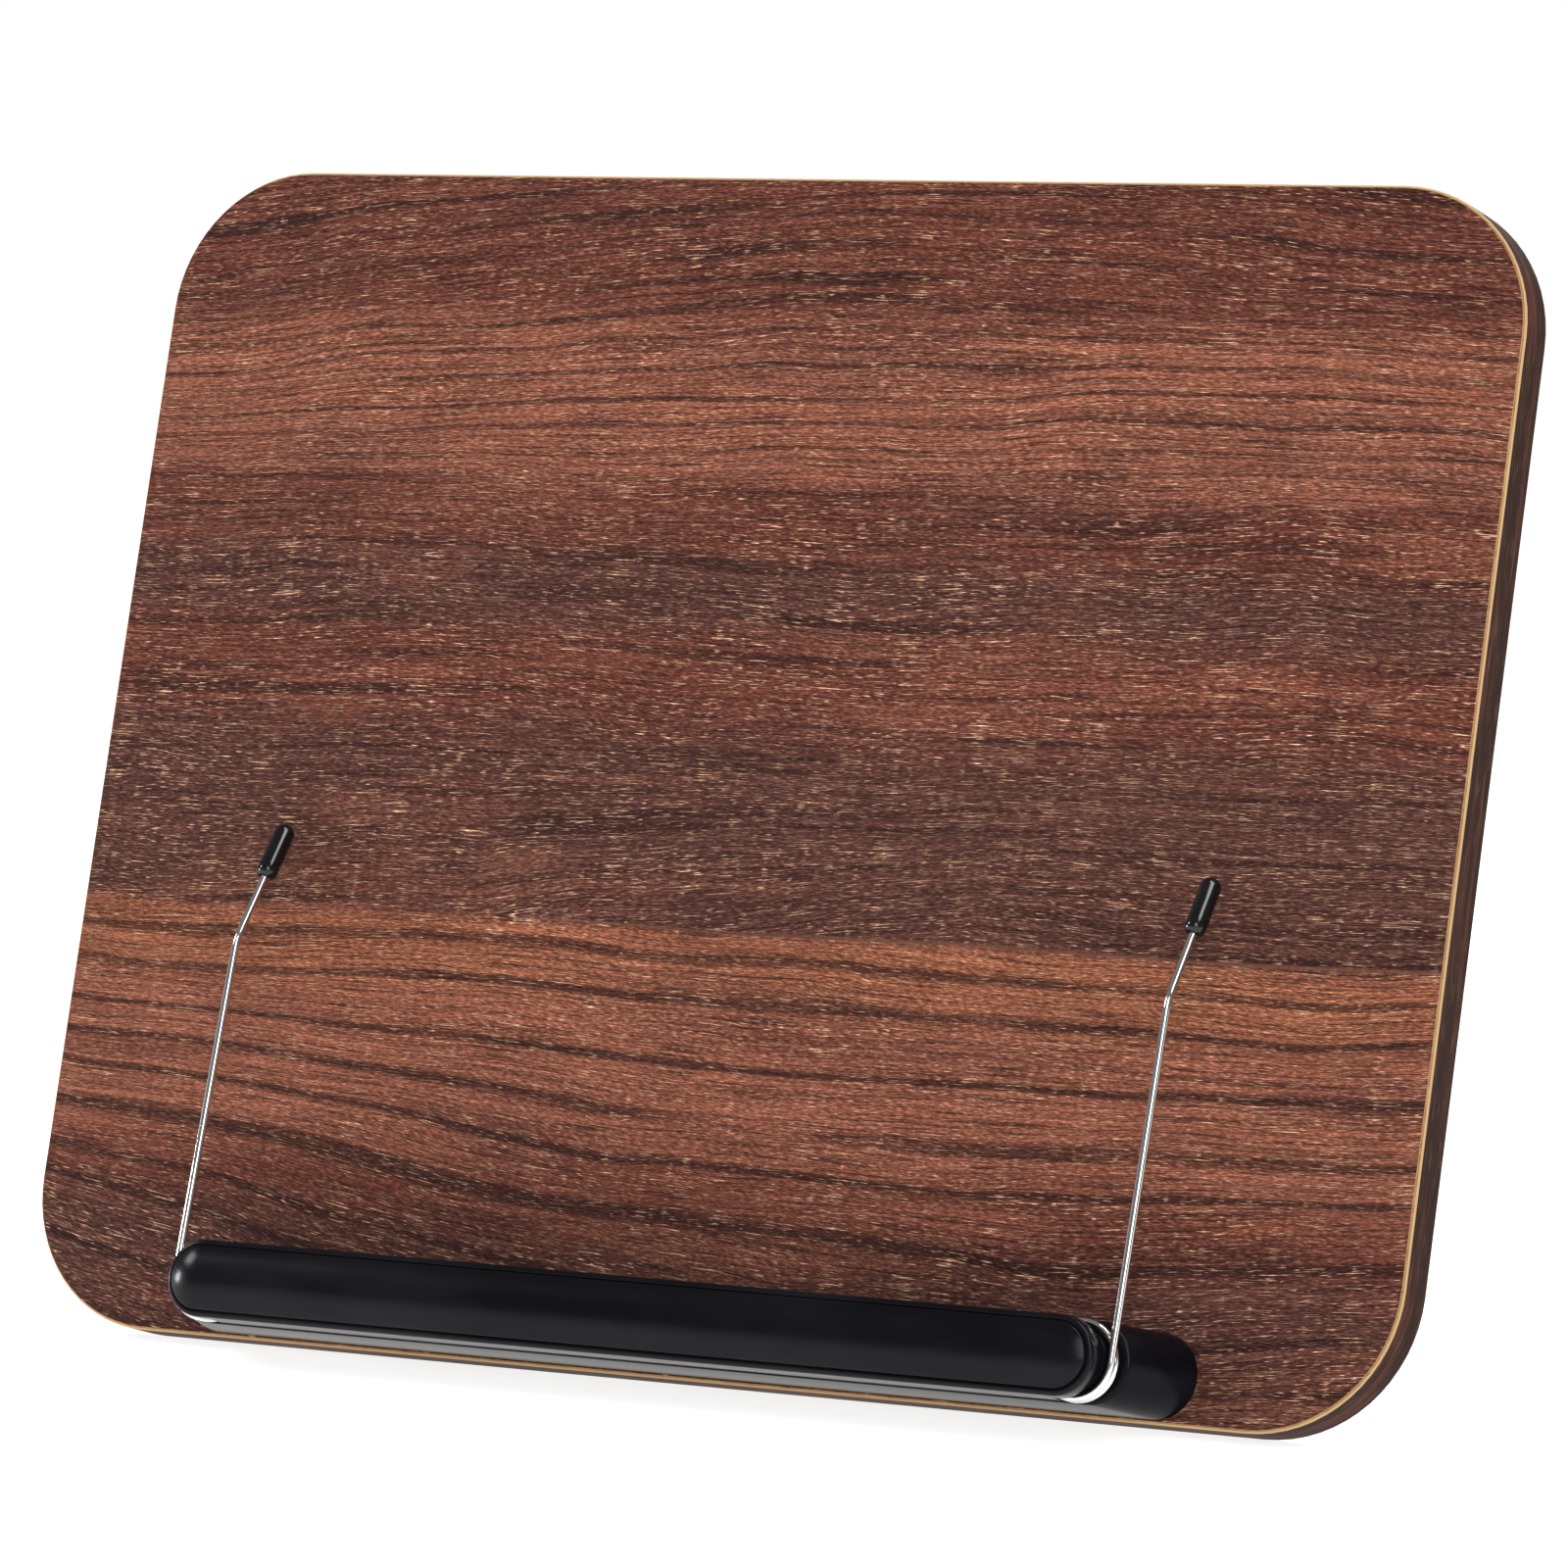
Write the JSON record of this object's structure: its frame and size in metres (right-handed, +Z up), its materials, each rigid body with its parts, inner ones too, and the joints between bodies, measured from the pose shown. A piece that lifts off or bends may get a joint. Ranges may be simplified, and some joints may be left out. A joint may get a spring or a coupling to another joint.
{
  "type": "book stand",
  "caption": "Tilting book stand: rounded wood-grain board with a lower ledge, swinging wire page clips and a folding ratchet leg behind.",
  "frame": {"origin": "on the desk, below the middle of the stand's box", "axes": "+X to the viewer's right along the board, +Y back away from the reader, +Z up"},
  "size_m": [0.356, 0.1454, 0.272],
  "materials": {
    "fibreboard": "raw cut edge",
    "walnut": "satin printed laminate",
    "walnut_edge": "satin edge band",
    "black_abs": "satin moulded",
    "screw_steel": "zinc plated",
    "bright_wire": "polished",
    "black_vinyl": "glossy",
    "spring_steel": "rolled strip",
    "acetal": "moulded",
    "foot_rubber": "matte"
  },
  "bodies": {
    "stand": {"board_core": "fibreboard", "front_laminate": "walnut", "rear_laminate": "walnut", "edge_band": "walnut_edge", "ledge_base": "black_abs", "ledge_cap": "black_abs", "ledge_screws": "screw_steel", "cap_screws": "screw_steel", "hinge_base": "black_abs", "hinge_cover": "black_abs", "hinge_screws": "screw_steel", "cover_screws": "screw_steel", "left_detent_spring": "spring_steel", "right_detent_spring": "spring_steel"},
    "leg": {"leg_wire": "bright_wire", "left_ratchet_drum": "acetal", "right_ratchet_drum": "acetal", "left_leg_foot": "foot_rubber", "right_leg_foot": "foot_rubber"},
    "left_clip": {"left_clip_wire": "bright_wire", "left_clip_tip": "black_vinyl"},
    "right_clip": {"right_clip_wire": "bright_wire", "right_clip_tip": "black_vinyl"}
  },
  "joints": [
    {"name": "leg_hinge", "type": "hinge", "parent": "stand", "child": "leg", "pos_m": [0, 0.02289, 0.16563], "axis": [1, 0, 0], "range_deg": [-32.7, 65.5], "deforming": ["left_detent_spring", "right_detent_spring"]},
    {"name": "left_clip_swing", "type": "hinge", "parent": "stand", "child": "left_clip", "pos_m": [-0.1129, -0.06246, 0.01908], "axis": [0, -0.9613, 0.2756], "range_deg": [-60, 90]},
    {"name": "right_clip_swing", "type": "hinge", "parent": "stand", "child": "right_clip", "pos_m": [0.1129, -0.06246, 0.01908], "axis": [0, -0.9613, 0.2756], "range_deg": [-90, 60]}
  ]
}
